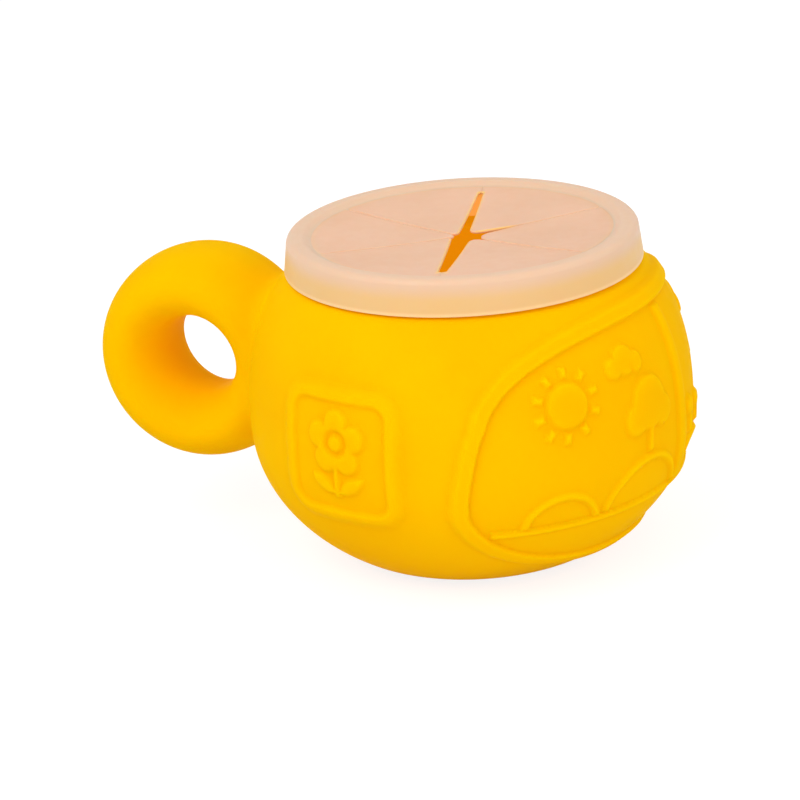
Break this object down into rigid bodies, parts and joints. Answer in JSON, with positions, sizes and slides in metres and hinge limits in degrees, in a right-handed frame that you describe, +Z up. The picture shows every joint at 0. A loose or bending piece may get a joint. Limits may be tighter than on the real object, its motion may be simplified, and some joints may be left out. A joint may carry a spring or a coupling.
{
  "type": "toddler snack cup with a slit lid",
  "caption": "Round soft snack cup with a ring handle and a stretch-on lid whose slit flaps let a hand in and hold the snacks back.",
  "frame": {"origin": "centre of the cup's flat underside", "axes": "+Z up along the cup's axis, handle towards -X, front picture towards +X"},
  "size_m": [0.1412, 0.102, 0.0745],
  "materials": {
    "cup_silicone": "matt yellow silicone, moulded, with a fine satin surface",
    "lid_silicone": "cloudy peach silicone, lets light through, satin"
  },
  "bodies": {
    "cup": {"bowl_floor": "cup_silicone", "bowl_low": "cup_silicone", "bowl_side": "cup_silicone", "bowl_top": "cup_silicone", "bowl_neck": "cup_silicone", "handle_ring": "cup_silicone", "front_frame": "cup_silicone", "front_hills": "cup_silicone", "front_sky": "cup_silicone", "side_frame_left": "cup_silicone", "side_frame_right": "cup_silicone", "side_flower_left": "cup_silicone", "side_flower_right": "cup_silicone"},
    "lid": {"lid_cap": "lid_silicone"},
    "flap_1": {"flap_1": "lid_silicone"},
    "flap_2": {"flap_2": "lid_silicone"},
    "flap_3": {"flap_3": "lid_silicone"},
    "flap_4": {"flap_4": "lid_silicone"},
    "flap_5": {"flap_5": "lid_silicone"},
    "flap_6": {"flap_6": "lid_silicone"}
  },
  "joints": [
    {"name": "lid_lift", "type": "slide", "parent": "cup", "child": "lid", "axis": [0, 0, 1], "range_m": [0, 0.06]},
    {"name": "flap_1_bend", "type": "hinge", "parent": "lid", "child": "flap_1", "pos_m": [0.01831, -0.01963, 0.07275], "axis": [0.7314, 0.682, 0], "range_deg": [-75, 60], "stiffness_Nm_per_rad": 0.003},
    {"name": "flap_2_bend", "type": "hinge", "parent": "lid", "child": "flap_2", "pos_m": [0.02616, 0.00604, 0.07275], "axis": [-0.225, 0.9744, 0], "range_deg": [-75, 60], "stiffness_Nm_per_rad": 0.003},
    {"name": "flap_3_bend", "type": "hinge", "parent": "lid", "child": "flap_3", "pos_m": [0.00785, 0.02567, 0.07275], "axis": [-0.9563, 0.2924, 0], "range_deg": [-75, 60], "stiffness_Nm_per_rad": 0.003},
    {"name": "flap_4_bend", "type": "hinge", "parent": "lid", "child": "flap_4", "pos_m": [-0.01831, 0.01963, 0.07275], "axis": [-0.7314, -0.682, 0], "range_deg": [-75, 60], "stiffness_Nm_per_rad": 0.003},
    {"name": "flap_5_bend", "type": "hinge", "parent": "lid", "child": "flap_5", "pos_m": [-0.02616, -0.00604, 0.07275], "axis": [0.225, -0.9744, 0], "range_deg": [-75, 60], "stiffness_Nm_per_rad": 0.003},
    {"name": "flap_6_bend", "type": "hinge", "parent": "lid", "child": "flap_6", "pos_m": [-0.00785, -0.02567, 0.07275], "axis": [0.9563, -0.2924, 0], "range_deg": [-75, 60], "stiffness_Nm_per_rad": 0.003}
  ]
}
